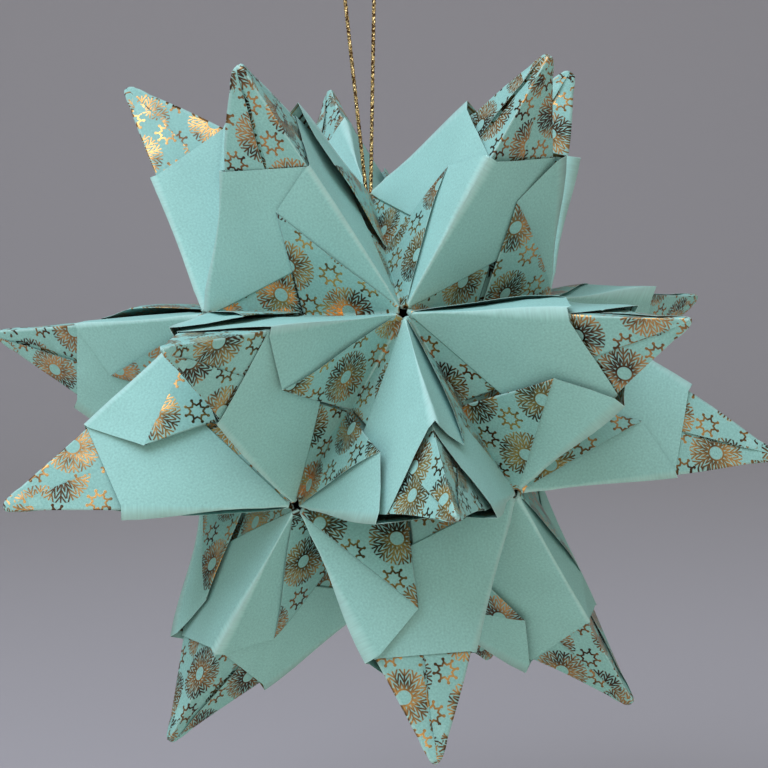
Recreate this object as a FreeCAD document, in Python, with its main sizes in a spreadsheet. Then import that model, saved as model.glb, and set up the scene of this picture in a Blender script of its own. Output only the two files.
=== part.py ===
import FreeCAD, Part
import itertools
import math
import os
from FreeCAD import Placement, Rotation, Vector

# Thirty-unit folded paper star on a cord loop. Millimetres, +Z up.
# The origin is where a hook carries the loop, and the star hangs below it.

SIZES = [
    ("paper_side", "150", "side of each square sheet"),
    ("paper_thickness", "0.12", "thickness of one layer of paper"),
    ("layer_gap", "0.02", "air between layers of different sheets"),
    ("pit_hole", "3.4", "opening left where five spikes meet"),
    ("tip_blunting", "0.4", "how far each tip stops short of where its layers come to a point"),
    ("star_turn", "-81", "direction of one upper pit about the hanging axis, in degrees"),
    ("cord_diameter", "1.2", "twisted cord"),
    ("strand_gap", "0.1", "air between the two strands where they leave the star"),
    ("loop_height", "80", "from the top pit to the hook"),
    ("knot_diameter", "6", "knot in the cord inside the top pit"),
    ("knot_gap", "0.1", "air between the knot and the folds that it bears on"),
]

ROOT = math.sqrt(2)
# Lengths on the folded sheet, as shares of the sheet's side.
VALLEY_SHARE = ROOT - 1
# Places on one spike face, as shares of the valley's length. The middle of the valley is (0, 0).
LEFT_PIT = (-0.5, 0)
RIGHT_PIT = (0.5, 0)
TIP = (0, (ROOT + 1) / 2)
POCKET_CORNER = (0, 0.5)
FLAP_LEFT = (-(ROOT - 1) / 2, ROOT / 2)
FLAP_RIGHT = ((ROOT - 1) / 2, ROOT / 2)
TAB_FOLD_RIGHT = (ROOT / 4, ROOT / 4)
TAB_FOLD_LEFT = (-ROOT / 4, ROOT / 4)
TAB_END_LOW = (0, (ROOT - 1) / 2)
TAB_END_CORNER = (0.5 - ROOT / 4, ROOT / 4)
# The knot's sphere is cut off flat at this latitude, where the strands leave it.
KNOT_FLAT_LATITUDE = 60
# Corners of the loop round the hook: half the width at its sides and top, and how far its sides lie below the top.
LOOP_SIDE = 5.5287
LOOP_TOP = 2.3312
LOOP_SIDE_DROP = 3.3932
# Share of a run that its two arcs may take at each end.
ARC_SHARE = 0.45


def make_sheet(doc):
    """Put the driving dimensions in a spreadsheet, one alias each."""
    sheet = doc.addObject("Spreadsheet::Sheet", "sizes")
    for row, (alias, value, meaning) in enumerate(SIZES, 1):
        sheet.set(f"A{row}", alias)
        sheet.set(f"B{row}", value)
        sheet.set(f"C{row}", meaning)
        sheet.setAlias(f"B{row}", alias)
    doc.recompute()
    return sheet


def star_pits(valley, turn):
    """The twelve pits: corners of an icosahedron whose edges are the valleys."""
    radius = valley * math.sin(math.radians(72))
    ring_height = radius / math.sqrt(5)
    ring_radius = 2 * ring_height
    pits = [Vector(0, 0, radius)]
    for height, start in ((ring_height, turn), (-ring_height, turn + 36)):
        for step in range(5):
            angle = math.radians(start + 72 * step)
            pits.append(Vector(ring_radius * math.cos(angle), ring_radius * math.sin(angle), height))
    pits.append(Vector(0, 0, -radius))
    return pits


class SpikeFace:
    """One of the sixty spike faces, seen from outside with its tip up."""

    def __init__(self, star, left, right):
        self.star = star
        self.left = left
        self.right = right
        self.third = star.third_pit(left, right)
        start, end, far = (star.pits[i] for i in (left, right, self.third))
        self.tip = (start + end + far).normalize() * star.tip_radius
        self.middle = (start + end) / 2
        self.across = (end - start).normalize()
        self.upward = (self.tip - self.middle).normalize()
        self.normal = self.across.cross(self.upward)
        self.floor = self.normal.dot(start) - star.outer_height

    def right_neighbour(self):
        return SpikeFace(self.star, self.right, self.third)

    def left_neighbour(self):
        return SpikeFace(self.star, self.third, self.left)

    def valley_partner(self):
        return SpikeFace(self.star, self.right, self.left)

    def level(self, height):
        """Plane at a height above the inside of this face's stack of layers."""
        return self.normal, self.floor + height

    def edge(self, start, end, outset=0.0):
        """Plane square to the face along a line of the face, moved to the right of its direction."""
        run = (end[0] - start[0], end[1] - start[1])
        length = math.hypot(*run)
        side = self.across * (run[1] / length) - self.upward * (run[0] / length)
        foot = self.across * (start[0] * self.star.valley) + self.upward * (start[1] * self.star.valley)
        return side, side.dot(self.middle + foot) + outset

    def mitre(self, other, rise):
        """Plane in which a layer of this face meets one of another face that lies lower by rise."""
        return self.normal - other.normal, self.floor - other.floor + rise

    def blunt(self, mean_height, depth):
        """Plane across the spike, this far below where layers at a mean height come to a point."""
        axis = Vector(self.tip).normalize()
        rise = (mean_height - self.star.outer_height) / self.star.tip_slope
        return axis, self.star.tip_radius + rise - depth


class Star:
    """The closed surface that the units make, and the heights of their layers."""

    def __init__(self, sheet):
        self.thickness = float(sheet.paper_thickness)
        self.gap = float(sheet.layer_gap)
        self.valley = float(sheet.paper_side) * VALLEY_SHARE
        self.pits = star_pits(self.valley, float(sheet.star_turn))
        face_height = TIP[1] * self.valley
        centre_to_valley = self.valley / (2 * math.sqrt(3))
        spike_height = math.sqrt(face_height ** 2 - centre_to_valley ** 2)
        core = math.sqrt(self.pits[0].Length ** 2 - self.valley ** 2 / 3)
        self.tip_radius = core + spike_height
        self.tip_slope = centre_to_valley / face_height
        # The sheet's true size is that of the tab layer, the fifth from the inside.
        self.outer_height = 5 * self.thickness
        self.blunting = float(sheet.tip_blunting)
        # Heights of the lower side of each layer above the inside of the stack.
        self.base = self.thickness
        self.hem_top = 4 * self.thickness
        self.tab = self.hem_top + self.gap
        self.tab_end = self.tab + self.thickness + self.gap
        self.tab_end_flap = self.tab_end + self.thickness
        self.tab_flap = self.tab_end_flap + self.thickness + self.gap
        self.pocket_flap = self.tab_flap + self.thickness + self.gap
        self.stack_top = self.pocket_flap + 2 * self.thickness
        # The tab layers of the three faces of a spike come to a point at their mean height.
        self.tab_mean = (self.tab + self.base + self.tab_end) / 3

    def touching(self, one, other):
        return abs((self.pits[one] - self.pits[other]).Length - self.valley) < self.valley / 100

    def third_pit(self, left, right):
        """The pit above a valley, seen from outside with left on the left."""
        for pit in range(len(self.pits)):
            if self.touching(pit, left) and self.touching(pit, right):
                if self.pits[left].cross(self.pits[right]).dot(self.pits[pit]) > 0:
                    return pit
        raise ValueError("no pit lies above this valley")

    def valleys(self):
        """Every pair of neighbouring pits, once."""
        pairs = itertools.combinations(range(len(self.pits)), 2)
        return [pair for pair in pairs if self.touching(*pair)]


def meeting_point(one, two, three):
    """The point that three planes share."""
    planes = (one, two, three)
    total = Vector()
    for i in range(3):
        total += planes[i - 2][0].cross(planes[i - 1][0]) * planes[i][1]
    return total / one[0].dot(two[0].cross(three[0]))


def plate(face, low, high, sides):
    """A layer of paper between two heights, bounded by planes listed in order round it."""
    rings = []
    for height in (low, high):
        level = face.level(height)
        pairs = zip(sides, sides[1:] + sides[:1])
        rings.append([meeting_point(level, one, two) for one, two in pairs])
    lower, upper = rings
    walls = []
    for i in range(len(sides)):
        walls.append([lower[i - 1], lower[i], upper[i], upper[i - 1]])
    faces = [Part.Face(Part.makePolygon(ring + ring[:1])) for ring in [lower, upper] + walls]
    solid = Part.Solid(Part.Shell(faces))
    if solid.Volume < 0:
        solid.reverse()
    return solid


def middle_layers(star, face):
    """The hem, the base and the pocket flap of a unit, on one of its own two faces."""
    thickness, gap = star.thickness, star.gap
    opposite = face.valley_partner()
    left, right = face.left_neighbour(), face.right_neighbour()
    bisector = face.edge(TIP, (0, 0))
    # The hem stops inside the neighbour's sheet. Hidden layers stop short of where three of them would meet.
    hem_edge = left.level(star.base - gap)
    hem_tip = face.blunt(0, star.blunting)
    flap_rise = star.pocket_flap - 2 * thickness
    plates = []
    # The corner folded behind the base has a raw edge, just short of the valley.
    hem = (
        (0, thickness, -gap),
        (thickness, 2 * thickness, 0),
        (2 * thickness, star.hem_top, -flap_rise),
    )
    for low, high, rise in hem:
        valley = face.mitre(opposite, rise)
        plates.append(plate(face, low, high, [valley, bisector, hem_tip, hem_edge]))
    valley = face.mitre(opposite, 0)
    ridge = face.mitre(right, star.base - star.tab)
    tip = face.blunt(star.base, star.blunting)
    plates.append(plate(face, star.base, star.base + thickness, [valley, ridge, tip, bisector]))
    valley = face.mitre(opposite, flap_rise)
    ridge = face.mitre(right, star.pocket_flap - star.tab_flap)
    flap_edge = face.edge(FLAP_RIGHT, POCKET_CORNER)
    flap_sides = [valley, ridge, flap_edge, bisector]
    plates.append(plate(face, star.pocket_flap, star.pocket_flap + thickness, flap_sides))
    raw_edge = face.edge(RIGHT_PIT, POCKET_CORNER)
    plates.append(plate(face, star.pocket_flap + thickness, star.stack_top, [valley, raw_edge, bisector]))
    return plates


def tab_layers(star, face):
    """The tab that wraps over the right ridge of a face: one whole face, then half of the next."""
    thickness, gap = star.thickness, star.gap
    cover, far = face.right_neighbour(), face.left_neighbour()
    beside = cover.valley_partner()
    clear_of_pocket = beside.level(star.stack_top + gap)
    near_ridge = cover.mitre(face, star.tab - star.base)
    flap_ridge = cover.mitre(face, star.tab_flap - star.pocket_flap)
    far_ridge = cover.mitre(far, star.tab - star.tab_end)
    far_flap_ridge = cover.mitre(far, star.tab_flap - star.tab_end_flap)
    outer_fold = cover.edge(LEFT_PIT, TAB_FOLD_RIGHT, gap + thickness)
    inner_fold = cover.edge(LEFT_PIT, TAB_FOLD_RIGHT, gap)
    flap_edge = cover.edge(FLAP_RIGHT, FLAP_LEFT)
    tip = cover.blunt(star.tab_mean, star.blunting)
    plates = [
        plate(cover, star.tab, star.tab + thickness, [near_ridge, clear_of_pocket, outer_fold, far_ridge, tip]),
        plate(cover, star.tab_flap, star.tab_flap + thickness,
              [flap_ridge, clear_of_pocket, outer_fold, far_flap_ridge, flap_edge]),
        plate(cover, star.tab + thickness, star.tab_flap,
              [clear_of_pocket, outer_fold, cover.mitre(far, 0), inner_fold]),
    ]
    end_ridge = far.mitre(cover, star.tab_end - star.tab)
    end_flap_ridge = far.mitre(cover, star.tab_end_flap - star.tab_flap)
    end_fold = far.edge(TAB_FOLD_LEFT, TAB_END_LOW)
    end_edge = far.edge(TAB_END_LOW, TIP)
    corner_edge = far.edge(TAB_END_LOW, TAB_END_CORNER)
    raw_edge = far.edge(TAB_END_CORNER, FLAP_LEFT)
    end_tip = far.blunt(star.tab_mean, star.blunting)
    plates.append(plate(far, star.tab_end, star.tab_end_flap, [end_ridge, end_fold, end_edge, end_tip]))
    plates.append(plate(far, star.tab_end_flap, star.tab_end_flap + thickness,
                        [end_flap_ridge, end_fold, corner_edge, raw_edge]))
    return plates


def folded_unit(star, left, right, hole_radius):
    """One sheet, folded: both of its faces with their tabs, open at the two pits."""
    plates = []
    for face in (SpikeFace(star, left, right), SpikeFace(star, right, left)):
        plates += middle_layers(star, face) + tab_layers(star, face)
    unit = plates[0].fuse(plates[1:])
    reach = star.valley / 4
    for pit in (star.pits[left], star.pits[right]):
        axis = Vector(pit).normalize()
        unit = unit.cut(Part.makeCylinder(hole_radius, 2 * reach, pit - axis * reach, axis))
    unit = unit.removeSplitter()
    if len(unit.Solids) != 1:
        raise ValueError(f"the folded unit came apart into {len(unit.Solids)} solids")
    return unit.Solids[0]


def unit_frame(star, valley):
    """Turn that a unit's valley has: out of the star, along the valley, and across."""
    start, end = (star.pits[i] for i in valley)
    outward = (start + end).normalize()
    along = (end - start).normalize()
    return Rotation(along, outward.cross(along), outward, "ZXY")


def make_units(doc, sheet, star):
    """Thirty copies of one folded sheet, one for each valley of the star."""
    centre = Vector(0, 0, -float(sheet.loop_height) - star.pits[0].Length)
    valleys = star.valleys()
    first = valleys[0]
    shape = folded_unit(star, first[0], first[1], float(sheet.pit_hole) / 2)
    back = unit_frame(star, first).inverted()
    units = []
    for number, valley in enumerate(valleys, 1):
        unit = doc.addObject("Part::Feature", f"paper_unit_{number:02d}")
        unit.Shape = shape
        unit.Placement = Placement(centre, unit_frame(star, valley).multiply(back))
        units.append(unit)
    return units


def make_knot(doc, star):
    """The knot: a ball, flat where the strands leave it, held below the folds round the top pit."""
    knot = doc.addObject("Part::Sphere", "cord_knot")
    knot.setExpression("Radius", "sizes.knot_diameter / 2")
    knot.Angle2 = KNOT_FLAT_LATITUDE
    # The five valleys fall from the pit at this angle to the hanging axis.
    fall = (star.pits[0] - star.pits[1]).getAngle(Vector(0, 0, 1))
    # The inside of a valley fold lies this far below its line, measured along the hanging axis.
    face = SpikeFace(star, 0, 1)
    inside = star.outer_height / face.normal.z
    below = f"(sizes.knot_diameter / 2 + sizes.knot_gap) / {math.sin(fall)}"
    knot.setExpression("Placement.Base.z", f"-(sizes.loop_height + {inside}) - {below}")
    return knot


def cord_route(sheet, knot):
    """Corners of the cord's middle line: up from the knot, round the hook and down again."""
    radius = float(sheet.cord_diameter) / 2
    exit_side = radius + float(sheet.strand_gap) / 2
    flat = knot.Placement.Base.z + knot.Radius.Value * math.sin(math.radians(KNOT_FLAT_LATITUDE))
    pit = -float(sheet.loop_height)
    return [
        Vector(-exit_side, 0, flat),
        Vector(-exit_side, 0, pit),
        Vector(-LOOP_SIDE, 0, radius - LOOP_SIDE_DROP),
        Vector(-LOOP_TOP, 0, radius),
        Vector(LOOP_TOP, 0, radius),
        Vector(LOOP_SIDE, 0, radius - LOOP_SIDE_DROP),
        Vector(exit_side, 0, pit),
        Vector(exit_side, 0, flat),
    ]


def rounded_path(points):
    """Straight runs joined by tangent arcs, each as large as its two runs allow."""
    edges = []
    place = points[0]
    radii = []
    for before, corner, after in zip(points, points[1:], points[2:]):
        back, on = (before - corner), (after - corner)
        shorter = min(back.Length, on.Length)
        half_turn = (math.pi - back.getAngle(on)) / 2
        setback = ARC_SHARE * shorter
        radius = setback / math.tan(half_turn)
        radii.append(round(radius, 2))
        start = corner + Vector(back).normalize() * setback
        end = corner + Vector(on).normalize() * setback
        inward = (Vector(back).normalize() + Vector(on).normalize()).normalize()
        middle = corner + inward * (radius / math.cos(half_turn) - radius)
        edges.append(Part.LineSegment(place, start).toShape())
        edges.append(Part.Arc(start, middle, end).toShape())
        place = end
    edges.append(Part.LineSegment(place, points[-1]).toShape())
    print("cord arc radii", radii)
    return Part.Wire(edges)


def make_cord(doc, sheet, knot):
    """A round tube along the route."""
    radius = float(sheet.cord_diameter) / 2
    points = cord_route(sheet, knot)
    path = rounded_path(points)
    section = Part.Wire(Part.makeCircle(radius, points[0], points[1] - points[0]))
    cord = doc.addObject("Part::Feature", "hanging_cord")
    cord.Shape = path.makePipeShell([section], True, False)
    expected = math.pi * radius ** 2 * path.Length
    print("cord length", round(path.Length, 2))
    print("cord volume over section times length", round(cord.Shape.Volume / expected, 5))
    return cord


def check_and_export(doc, pieces):
    """Stop on a failed or empty piece, then write one file for each."""
    for item in doc.Objects:
        if "Invalid" in item.State or "Error" in item.State:
            raise ValueError(f"{item.Name} failed: {item.State}")
    os.makedirs("parts", exist_ok=True)
    for piece in pieces:
        if piece.Shape.isNull() or not piece.Shape.isValid() or len(piece.Shape.Solids) != 1:
            raise ValueError(f"{piece.Name} has no sound solid")
        piece.Label = piece.Name
        piece.Shape.exportStep(f"parts/{piece.Label}.step")
    print("pieces", len(pieces), "volume of one unit", round(pieces[0].Shape.Volume, 2))


def main():
    doc = FreeCAD.newDocument("paper_star")
    sheet = make_sheet(doc)
    star = Star(sheet)
    units = make_units(doc, sheet, star)
    knot = make_knot(doc, star)
    doc.recompute()
    cord = make_cord(doc, sheet, knot)
    doc.recompute()
    check_and_export(doc, units + [knot, cord])


main()
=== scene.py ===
# %% [markdown]
# This scene dresses a modular paper star: thirty square sheets, each folded the same way and tucked into
# its neighbours, hung on a gold cord. The solids of the frame give the place of every piece. They are loaded
# first, and the box round them is kept, because the dressed star has to stay inside it.

# %% Load the frame
import itertools
import math
import random

import bmesh
import bpy
import numpy as np
from mathutils import Matrix, Vector, noise


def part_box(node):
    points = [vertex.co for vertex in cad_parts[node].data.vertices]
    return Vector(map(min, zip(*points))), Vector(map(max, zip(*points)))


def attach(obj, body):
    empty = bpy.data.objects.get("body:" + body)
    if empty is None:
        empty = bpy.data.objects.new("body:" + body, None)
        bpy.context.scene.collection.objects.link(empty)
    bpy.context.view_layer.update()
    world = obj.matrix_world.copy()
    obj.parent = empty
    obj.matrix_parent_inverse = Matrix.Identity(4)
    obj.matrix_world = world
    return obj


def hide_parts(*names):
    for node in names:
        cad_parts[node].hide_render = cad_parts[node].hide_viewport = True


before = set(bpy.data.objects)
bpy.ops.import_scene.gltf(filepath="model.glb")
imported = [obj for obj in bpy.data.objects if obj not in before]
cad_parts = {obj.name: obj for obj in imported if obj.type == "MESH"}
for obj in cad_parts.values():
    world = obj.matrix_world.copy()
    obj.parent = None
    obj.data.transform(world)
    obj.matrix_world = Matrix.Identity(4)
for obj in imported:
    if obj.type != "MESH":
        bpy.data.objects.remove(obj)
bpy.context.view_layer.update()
paper_nodes = sorted(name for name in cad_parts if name.startswith("paper_unit"))
print("sheets to fold:", len(paper_nodes))

# %% [markdown]
# Every size of the star follows from the side of the sheet. Folding a square this way turns it into a strip
# whose creases stand at 45 and 67.5 degrees, so the lengths are shares of the side with the root of two in
# them. The star's centre is read from the boxes of the solids.

# %% Sizes of the sheet and the star
SHEET = 0.150
PAPER = 0.00012
GAP = 0.00002
VALLEY = SHEET * (math.sqrt(2) - 1)
FACE_HEIGHT = SHEET / 2
STAR_TURN = math.radians(-81)

boxes = [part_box(name) for name in paper_nodes]
lowest = Vector([min(low[i] for low, high in boxes) for i in range(3)])
highest = Vector([max(high[i] for low, high in boxes) for i in range(3)])
star_centre = (lowest + highest) / 2
print("star centre", [round(x, 4) for x in star_centre], "height", round(highest.z - lowest.z, 4))

# %% [markdown]
# The twelve pits where five spikes meet are the corners of an icosahedron, and its thirty edges are the
# valley folds, one for each sheet. The solids number the sheets in this same order.

# %% Pits and valleys
def pit_ring(height, start):
    """Five pits at one height, a fifth of a turn apart."""
    radius = 2 * abs(height)
    angles = [start + math.tau * step / 5 for step in range(5)]
    return [Vector((radius * math.cos(a), radius * math.sin(a), height)) for a in angles]


PIT_RADIUS = VALLEY * math.sin(math.radians(72))
ring_height = PIT_RADIUS / math.sqrt(5)
pits = [Vector((0, 0, PIT_RADIUS))]
pits += pit_ring(ring_height, STAR_TURN) + pit_ring(-ring_height, STAR_TURN + math.pi / 5)
pits.append(Vector((0, 0, -PIT_RADIUS)))


def touching(one, other):
    """True for two pits at the ends of one valley."""
    return abs((one - other).length - VALLEY) < VALLEY / 100


valleys = [pair for pair in itertools.combinations(pits, 2) if touching(*pair)]
print("valleys", len(valleys))

# %% [markdown]
# Two angles close the star: how far each half of a sheet rises from its valley, and how sharply it turns over
# a ridge. They are measured on one spike, rather than written down, so they stay true to the pits.

# %% Angles of the folds
first, second = valleys[0]
third = next(p for p in pits if touching(p, first) and touching(p, second) and first.cross(second).dot(p) > 0)
valley_middle = (first + second) / 2
spike_foot = (first + second + third) / 3
spike_height = math.sqrt(FACE_HEIGHT ** 2 - (valley_middle - spike_foot).length ** 2)
spike_tip = spike_foot + spike_foot.normalized() * spike_height
valley_rise = math.asin((spike_tip - valley_middle).normalized().dot(valley_middle.normalized()))


def outward_normal(left, right, tip):
    """Which way a spike face looks, from its two pits and its tip."""
    return (right - left).cross(tip - left).normalized()


face_normal = outward_normal(first, second, spike_tip)
ridge_turn = face_normal.angle(outward_normal(second, third, spike_tip))
print("valley rise", round(math.degrees(valley_rise), 2), "ridge turn", round(math.degrees(ridge_turn), 2))

# %% [markdown]
# The sheet starts as one square, printed side up. Each crease is a cut across every layer that lies there,
# which is what a fold does to real paper, and a flat fold swings all that lies beyond the crease through
# half a turn. A vertex keeps its place on the flat sheet in a layer, so the print can follow the paper
# afterwards.

# %% Creasing and folding a sheet
def side_of(point, along, places):
    """Signed distances to the right of a line, for points of the folded sheet."""
    right = Vector((along[1], -along[0])).normalized()
    return [(Vector(place[:2]) - Vector(point)).dot(right) for place in places]


def crease(bm, point, along):
    """Split every layer along a line of the folded sheet."""
    right = Vector((along[1], -along[0], 0)).normalized()
    everything = bm.verts[:] + bm.edges[:] + bm.faces[:]
    bmesh.ops.bisect_plane(bm, geom=everything, dist=1e-7, plane_co=(*point, 0), plane_no=right)


def fold_over(bm, point, along, mark):
    """Crease along a line and swing what lies to its right flat over. The faces that moved are marked."""
    crease(bm, point, along)
    marked = bm.faces.layers.int[mark]
    centres = [face.calc_center_median() for face in bm.faces]
    for face, distance in zip(bm.faces, side_of(point, along, centres)):
        if distance > 0:
            face[marked] = 1
    distances = side_of(point, along, [vert.co for vert in bm.verts])
    beyond = [vert for vert, distance in zip(bm.verts, distances) if distance > 1e-6]
    half_turn = Matrix.Rotation(math.pi, 3, Vector((*along, 0)))
    bmesh.ops.rotate(bm, verts=beyond, cent=(*point, 0), matrix=half_turn)


# %% [markdown]
# One sheet: two opposite corners fold behind, then two long hems fold to the front over them. The corner
# folds stop a little short of the middle, as a folder leaves them so that the paper clears, and that leaves
# the dark slits that show beside each pocket. Then come the valley, the ridges and the creases of the tabs,
# and a set of finer cuts that lets the paper curl.

# %% The crease pattern
EIGHTH = math.pi / 8
TIP = Vector((SHEET / 2, 0))
CORNER_SHORT = 0.006
FOLD_WIDTH = 0.0004
SEAM_WIDTH = 0.0010
CUT_SPACING = 0.0052


def line_from_tip(angle):
    """A line of the sheet through the right tip, at an angle to the way back to the middle."""
    return TIP, Vector((-math.cos(angle), -math.sin(angle)))


def creased_sheet():
    """A square folded flat, with all its layers, creases and finer cuts."""
    bm = bmesh.new()
    bmesh.ops.create_grid(bm, x_segments=1, y_segments=1, size=SHEET / 2)
    on_sheet = bm.verts.layers.float_vector.new("sheet")
    for mark in ("corner", "hem"):
        bm.faces.layers.int.new(mark)
    for vert in bm.verts:
        vert[on_sheet] = vert.co
    corner_way = Vector((math.cos(math.pi * 3 / 4 + CORNER_SHORT), math.sin(math.pi * 3 / 4 + CORNER_SHORT)))
    hem_way = Vector((-math.cos(EIGHTH), math.sin(EIGHTH)))
    for mark, way in (("corner", corner_way), ("hem", hem_way)):
        fold_over(bm, TIP, way, mark)
        fold_over(bm, -TIP, -way, mark)
    crease(bm, (0, 0), (0, 1))
    for sign in (1, -1):
        for angle in (EIGHTH, 3 * EIGHTH):
            point, way = line_from_tip(angle)
            crease(bm, point * sign, way * sign)
        inside = Vector((hem_way.y, -hem_way.x)) * -FOLD_WIDTH
        crease(bm, (TIP + inside) * sign, hem_way * sign)
        crease(bm, (0, SEAM_WIDTH * sign), (1, 0))
        crease(bm, (FOLD_WIDTH * sign, 0), (0, 1))
        for angle in (EIGHTH, 3 * EIGHTH):
            point, way = line_from_tip(angle)
            aside = Vector((way.y, -way.x)) * FOLD_WIDTH
            for offset in (aside, -aside):
                crease(bm, (point + offset) * sign, way * sign)
        point, way = line_from_tip(2 * EIGHTH)
        aside = Vector((way.y, -way.x)) * SEAM_WIDTH
        for offset in (aside, aside * 0, -aside):
            crease(bm, (point + offset) * sign, way * sign)
    steps = int(SHEET / 2 / CUT_SPACING)
    for step in range(-steps, steps + 1):
        crease(bm, ((step + 0.5) * CUT_SPACING, 0), (0, 1))
        crease(bm, (0, (step + 0.5) * CUT_SPACING), (1, 0))
    return bm


sheet_pattern = creased_sheet()
print("faces in one sheet", len(sheet_pattern.faces))

# %% [markdown]
# Every spot of the folded strip lies on a face of a spike: the unit's own two faces, the neighbour's face
# that a tab covers, and half of the face after that. Seen from its spike's tip, each of these is a wedge of
# an eighth of a turn, so the angle at the tip says which one a spot is on.

# %% Places on a spike face
def on_face(place):
    """Half of the unit, count of ridges crossed, and the spot's place across and up its spike face."""
    half = 1 if place[0] >= 0 else -1
    back, side = TIP.x - half * place[0], -half * place[1]
    angle, reach = math.atan2(side, back), math.hypot(side, back)
    ridges = 0 if angle < EIGHTH else 1 if angle < 3 * EIGHTH else 2
    angle -= ridges * math.pi / 4
    return half, ridges, reach * math.sin(angle), FACE_HEIGHT - reach * math.cos(angle)


# %% [markdown]
# Paper has thickness, and up to ten layers lie on one face. Each layer's height above the innermost one is
# counted here in sheets of paper and gaps, exactly as in the solids.

# %% Heights of the layers
def layer_height(corner, hem, ridges, across):
    """Height of the middle of a layer above the inside of its stack."""
    if ridges == 2:
        return (6.5 if hem else 5.5) * PAPER + 2 * GAP
    if ridges == 1:
        return 7.5 * PAPER + 3 * GAP if hem else 4.5 * PAPER + GAP
    if across < 0:
        return (1.5 + hem * (1 + corner) - (corner and not hem)) * PAPER
    if hem:
        return (8.5 + corner) * PAPER + 4 * GAP
    return 1.5 * PAPER


TRUE_SIZE_HEIGHT = 5 * PAPER

# %% [markdown]
# Down the middle of each printed tip runs a dark seam, where the cut edge of one tab lies over the next one.
# The paper under it sinks into a narrow groove, and the edge stands over that, which gives the line its
# shadow.

# %% The seam down each tip
SEAM_DEPTH = 0.0013
SEAM_START = VALLEY * 0.70
TIP_REACH = FACE_HEIGHT - SEAM_START


def seam_depth(ridges, across, up):
    """How far the paper sinks beside the middle line of a tip."""
    if ridges == 2 or up < SEAM_START:
        return 0.0
    share = (up - SEAM_START) / TIP_REACH
    shape = min(1.0, share * 12) * min(1.0, (1 - share) * 2.5)
    return SEAM_DEPTH * shape * max(0.0, 1 - abs(across) / SEAM_WIDTH)

# %% [markdown]
# Folded paper springs back. A pocket's flap stands open, its printed corner curls up along the cut edge, and
# where a tab wraps a ridge, its cut edge stands loose on one side and is held on the other. Each amount is a
# smooth bump that is nothing at the folds that hold the flap, times a random strength for that sheet, so
# that no two flaps are alike. Under the slit between the two corner folds of a face the innermost paper
# sinks, so that the slit shows dark.

# %% Curl of the free flaps
def ease(share):
    """A smooth step from 0 to 1."""
    share = min(max(share, 0.0), 1.0)
    return share * share * (3 - 2 * share)


SLIT_DEPTH = 0.0030
SLIT_REACH = 0.0045
SLIT_FADE = VALLEY * 0.15
SLIT_END = VALLEY * 0.65


def slit_depth(hem, ridges, across, up):
    """How far the innermost paper sinks under the slit between the two corner folds of a face."""
    if hem or ridges:
        return 0.0
    along = ease(up / SLIT_FADE) * ease((SLIT_END - up) / SLIT_FADE)
    return SLIT_DEPTH * along * ease(1 - abs(across) / SLIT_REACH)


def spring(corner, hem, ridges, across, up, strength):
    """How far a free flap stands off its layer."""
    if ridges == 2 and up > SEAM_START:
        share = (up - SEAM_START) / TIP_REACH
        from_ridge = 1 + across / max((FACE_HEIGHT - up) * math.tan(EIGHTH), SEAM_WIDTH)
        return strength["seam"] * math.sin(math.pi * min(share, 1)) * ease(from_ridge)
    if not hem or ridges == 2:
        return 0.0
    half_width = max((FACE_HEIGHT - up) * math.tan(EIGHTH), SEAM_WIDTH)
    at_ridge = strength["loose"] * ease((up - VALLEY * 0.2) / (VALLEY * 0.5))
    if ridges == 0 and across >= 0:
        pocket = VALLEY / 2
        from_ridge = (pocket - across) * math.cos(EIGHTH) - up * math.sin(EIGHTH)
        reach = pocket * (math.cos(EIGHTH) - math.sin(EIGHTH))
        lift = strength["pocket"] * ease(up / pocket) * ease(from_ridge / reach)
        if corner:
            middle = VALLEY / 4
            lift += strength["corner"] * min(across * up / middle ** 2, 1.4)
        return lift + at_ridge * ease(across / half_width)
    if ridges == 1:
        return at_ridge * ease((half_width - across) / (2 * half_width))
    return 0.0


# %% [markdown]
# A vertex is pushed off the ideal surface so that each of its faces gets its height. On a crease the faces
# look different ways, and the least push that suits them all comes from a small least-squares problem. Where
# two layers of a flat fold ask for different heights it gives the middle, which draws the fold to a crisp
# edge. An inner layer has less room beside a ridge than the ideal surface, and an outer one less beside a
# valley. A vertex there must not pass through the face beyond the fold, so each one knows the planes beyond
# its folds.

# %% Where the folds put each part of the sheet
def about(point, way, angle):
    """A turn about a line of the flat sheet."""
    origin = Vector((*point, 0))
    turn = Matrix.Rotation(angle, 4, Vector((*way, 0)))
    return Matrix.Translation(origin) @ turn @ Matrix.Translation(-origin)


def fold_matrices():
    """For each half and count of ridges crossed, the move from the flat strip to the folded unit.

    The count of -1 is the face beyond the strip's own edge, which the strip doesn't reach.
    """
    moves = {}
    for half in (1, -1):
        move = about((0, 0), (0, 1), -half * valley_rise)
        moves[half, 0] = move
        for ridges in (1, 2):
            point, way = line_from_tip((2 * ridges - 1) * EIGHTH)
            move = move @ about(point * half, way * half, -ridge_turn)
            moves[half, ridges] = move
        point, way = line_from_tip(-EIGHTH)
        moves[half, -1] = moves[half, 0] @ about(point * half, way * half, ridge_turn)
    return moves


moves = fold_matrices()
normals = {key: (move.to_3x3() @ Vector((0, 0, 1))).normalized() for key, move in moves.items()}

# %% Note what each vertex belongs to
corner_mark = sheet_pattern.faces.layers.int["corner"]
hem_mark = sheet_pattern.faces.layers.int["hem"]
sheet_pattern.verts.ensure_lookup_table()
sheet_pattern.verts.index_update()
NEAR_FOLD = 0.004
INNERMOST = 0.5 * PAPER


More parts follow.
